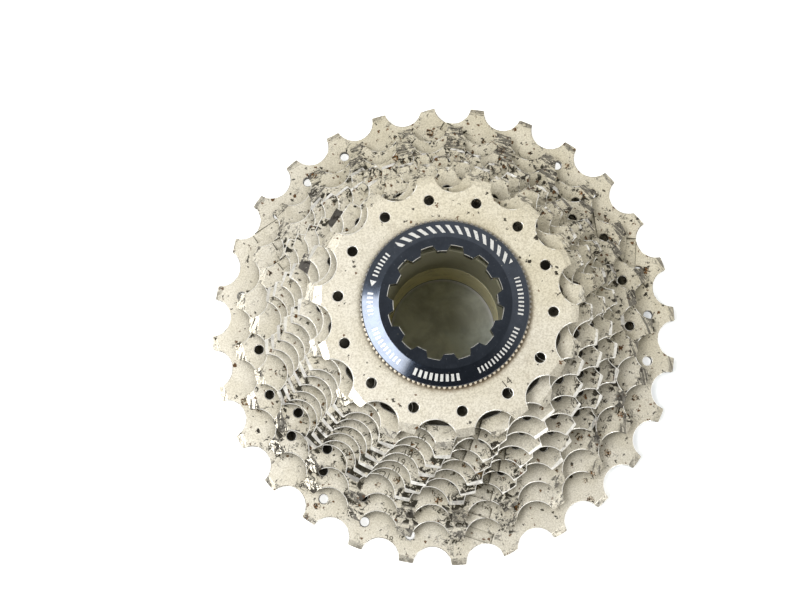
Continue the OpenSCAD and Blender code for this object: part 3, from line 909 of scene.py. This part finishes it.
# ---------------------------------------------------------------- riveted unit
def carrier():
    """Splined hub with a flared foot, and six arms with round ends."""
    lo, hi = box_mm("carrier")
    foot, top = lo[2], hi[2]
    hub = lathe([(15.8, foot), (20.3, foot), (20.7, foot + 0.2), (22.2, ARM_Z - 0.2), (22.4, ARM_Z + 0.2),
                 (22.4, top - 0.3), (22.1, top), (15.8, top)], turn(180))
    w = ARM_HALF
    arm = [(21.6, -w - 2.6), (23.4, -w - 0.9), (25.6, -w)]
    arm += [(RIVET_CIRCLE + w * math.sin(f), -w * math.cos(f)) for f in [math.pi * j / 14 for j in range(15)]]
    arm += [(25.6, w), (23.4, w + 0.9), (21.6, w + 2.6)]
    star = [p for k in range(ARMS) for p in rotated(arm, arm_angle(k))]
    arms = plate([star] + rivet_holes(), ARM_Z, ARM_Z + ARM_T, ARM_EDGE)
    bore = plate([bore_loop()], foot - 1, top + 1, 0.001, 0)
    add("carrier_arms", boolean(boolean(hub, arms, "UNION"), bore), "carrier", DARK_ALLOY)


carrier()

# What the nickel material reads on a small turned piece, which has no teeth and no plate above it
NO_TEETH = {"edge_dirt": 0.3, "hidden_mm": 0, "black_tips": 0, "next_n": 0, "next_at": 0}


def on_arms(make):
    """One copy of a small turned piece at every rivet."""
    copies = []
    for k in range(ARMS):
        me = make()
        me.transform(Matrix.Translation((*polar(RIVET_CIRCLE, arm_angle(k)), 0)))
        copies.append(me)
    return joined(*copies)


def rivet():
    lo, hi = box_mm("rivets")
    low_face, high_face = lo[2] + HEAD_H, hi[2] - HEAD_H
    head = [(0.02, 0.12), (1.3, 0.0), (1.9, 0.1), (2.5, 0.55)]
    bottom = [(r, lo[2] + z) for r, z in head] + [(HEAD_R, low_face), (RIVET_R, low_face)]
    top = [(RIVET_R, high_face), (HEAD_R, high_face)] + [(r, hi[2] - z) for r, z in reversed(head)]
    return lathe(bottom + top, turn(32))


def collar():
    lo, hi = box_mm("rivet_collars")
    r0, r1, z0, z1, c = RIVET_HOLE_R, 3.3, lo[2], hi[2], 0.15
    return lathe([(r0, z0), (r1 - c, z0), (r1, z0 + c), (r1, z1 - c), (r1 - c, z1), (r0, z1)], turn(40))


add("rivet_set", on_arms(rivet), "rivets", RIVET_STEEL, seed=5.0, grime=0.4, root_mm=40, **NO_TEETH)
add("rivet_collar_set", on_arms(collar), "rivet_collars", RIVET_STEEL, seed=9.0, grime=0.3, root_mm=40, **NO_TEETH)


# ---------------------------------------------------------------- core, washer and lock ring
def spline_angles(count):
    """Turn angles with an extra pair at each flank of each spline, so that the flanks stand straight."""
    out = turn(count)
    for a, half in map(spline, range(SPLINES)):
        w = math.asin(half / CORE_CREST)
        for s in (-1, 1):
            out += [(a + s * (w - 0.0004)) % (2 * math.pi), (a + s * (w + 0.0004)) % (2 * math.pi)]
    return sorted(out)


def core_radius(r, tag, a):
    """Drops the outside of the core to its roots between the splines."""
    splines = map(spline, range(SPLINES))
    on_spline = any(abs(half_turn(a - c)) < math.asin(half / CORE_CREST) for c, half in splines)
    return r - (CORE_CREST - CORE_ROOT) if tag and not on_spline else r


def thread(start, r, depth):
    """Turns of thread at radius r from the top down, as grooves of this depth; negative is inwards."""
    out = []
    for k in reversed(range(THREAD_TURNS)):
        z = start + k * THREAD_LEAD
        out += [(r, z + 0.74), (r + depth, z + 0.37), (r, z)]
    return out


def core():
    """Sleeve with splines outside, a foot below, a thread in its mouth and a fine groove low in its bore."""
    top, r = box_mm("hub_core")[1][2], CORE_BORE
    mouth = top - 5.6
    prof = [(r, 0.35), (r + 0.3, 0), (19.3, 0), (19.6, 0.3), (19.6, CORE_FOOT - 0.3), (19.3, CORE_FOOT),
            (CORE_CREST, CORE_FOOT, "spline"), (CORE_CREST, top - 0.5, "spline"), (CORE_CREST - 0.4, top, "spline"),
            (15.6, top), (THREAD_R, top - 0.25)]
    prof += thread(mouth + 1.0, THREAD_R, THREAD_DEPTH)
    prof += [(THREAD_R, mouth), (r + 0.2, mouth), (r, mouth - 0.2), (r, 15.7), (r + 0.2, 15.6), (r + 0.2, 15.3),
             (r, 15.2)]
    add("core_sleeve", lathe(prof, spline_angles(240), core_radius), "hub_core", CORE)


core()


def washer():
    lo, hi = box_mm("lock_ring_washer")
    z0, z1 = lo[2], hi[2]
    me = lathe([(15.65, z0), (17.8, z0), (17.9, z0 + 0.1), (17.9, z1 - 0.1), (17.8, z1), (15.65, z1)], turn(160))
    add("washer_ring", me, "lock_ring_washer", RIVET_STEEL, seed=3.0, grime=0.2, root_mm=30, **NO_TEETH)


washer()


def lock_ring_radius(r, tag, a):
    """Fine waves on the rim and twelve round-edged notches in the socket."""
    if tag == "rim":
        return r - RIM_TOOTH_DEPTH * (0.5 - 0.5 * math.cos(RIM_TEETH * a)) ** 1.1
    if tag == "socket":
        step = 360 / NOTCHES
        u = (math.degrees(a) - NOTCH_AT + step / 2) % step - step / 2
        s = max(0.0, min(1.0, (9.6 - abs(u)) / 3.6))
        return r + NOTCH_DEPTH * (s * s * (3 - 2 * s) * 0.35 + s * 0.65)
    return r


def lock_ring():
    """Coned flange with a toothed rim, a tool socket with a bare edge, and a threaded tube."""
    lo, hi = box_mm("lock_ring")
    seat = box_mm("lock_ring_washer")[1][2]
    outer, face, low = (hi[0] - lo[0]) / 2, hi[2], seat - 5.7
    inside = face - 2.4
    socket = [(0.25, inside), (0, inside + 0.2), (0, face - 0.22), (0.04, face - 0.08), (0.13, face)]
    prof = [(SOCKET_R + r, z, "socket") for r, z in socket]
    prof += [(14.1, face), (14.22, face - 0.02), (14.34, face - 0.05)]
    prof += [(outer - r, seat + z) for r, z in ((0.62, 1.14), (0.56, 1.08), (0.50, 1.0), (0.48, 0.88))]
    prof += [(outer - r, seat + z, "rim") for r, z in ((0.12, 0.84), (0, 0.74), (0, 0.12), (0.12, 0))]
    prof += [(15.75, seat), (TUBE_R, seat - 0.1)]
    prof += thread(low + 0.9, TUBE_R, -THREAD_DEPTH)
    prof += [(TUBE_R, low + 0.4), (14.9, low), (TUBE_WALL + 0.2, low), (TUBE_WALL, low + 0.2),
             (TUBE_WALL, inside - 0.2), (TUBE_WALL - 0.2, inside)]
    socket_edge = (2, 3)
    me = lathe(prof, turn(RIM_TEETH * 8), lock_ring_radius, socket_edge)
    add("lock_ring_body_turned", me, "lock_ring", [RING, RING_EDGE], sharp=28)


lock_ring()

# ---------------------------------------------------------------- floor, light, camera
bpy.ops.mesh.primitive_plane_add(size=14)
floor = bpy.context.object
floor.name = "bench"
floor.data.materials.append(bench())


def area(name, azimuth, elevation, distance, size, power, colour=(1, 1, 1)):
    """Window of light that faces the object from this direction."""
    data = bpy.data.lights.new(name, "AREA")
    data.shape = "RECTANGLE"
    data.size, data.size_y = size
    data.energy = power
    data.color = colour
    ob = bpy.data.objects.new(name, data)
    a, e = math.radians(azimuth), math.radians(elevation)
    way = Vector((math.cos(a) * math.cos(e), math.sin(a) * math.cos(e), math.sin(e)))
    ob.location = way * distance + Vector((0, 0, 0.03))
    ob.rotation_mode = "QUATERNION"
    ob.rotation_quaternion = way.to_track_quat("Z", "Y")
    bpy.context.scene.collection.objects.link(ob)


area("window", 177, 63.0, 0.8, (0.46, 0.24), 4.0)
area("far_window", 290, 44, 0.9, (0.20, 0.20), 1.25, (1.0, 0.995, 0.98))

CAMERA_SIDE = (-0.04, -0.28, 0.96)


def sky():
    """Soft room light, a little stronger from the right and the far side, dim where the camera is held."""
    world = bpy.data.worlds.new("studio")
    bpy.context.scene.world = world
    world.use_nodes = True
    s = Shader(tree=world.node_tree)
    way = s.coordinates("Generated")
    x, y, _ = s.parts(way)
    shadowed = s.step(s.vector("DOT_PRODUCT", way, Vector(CAMERA_SIDE).normalized()), 0.80, 0.975, 1.0, 0.18)
    background = s.tree.nodes["Background"]
    s.put(background.inputs["Color"], (1.0, 0.985, 0.935))
    s.put(background.inputs["Strength"], shadowed * (x * 0.25 + y * 0.2 + 1.0) * 0.765)


sky()

bpy.context.scene.view_settings.view_transform = "Standard"

CAMERA_LENS = 49.46
CAMERA_AT = (-11.32, -36.28, 272.67)          # millimetres
CAMERA_TURN = (-9.5914, -0.4613, 11.4057)     # axis times angle in degrees


def camera():
    data = bpy.data.cameras.new("camera")
    data.sensor_width = 36.0
    data.lens = CAMERA_LENS
    data.clip_start = 0.01
    ob = bpy.data.objects.new("camera", data)
    bpy.context.scene.collection.objects.link(ob)
    turned = Vector(CAMERA_TURN)
    look = Matrix.Rotation(math.radians(turned.length), 4, turned.normalized()).transposed()
    ob.matrix_world = Matrix.Translation(Vector(CAMERA_AT) * MM) @ look
    bpy.context.scene.camera = ob


camera()
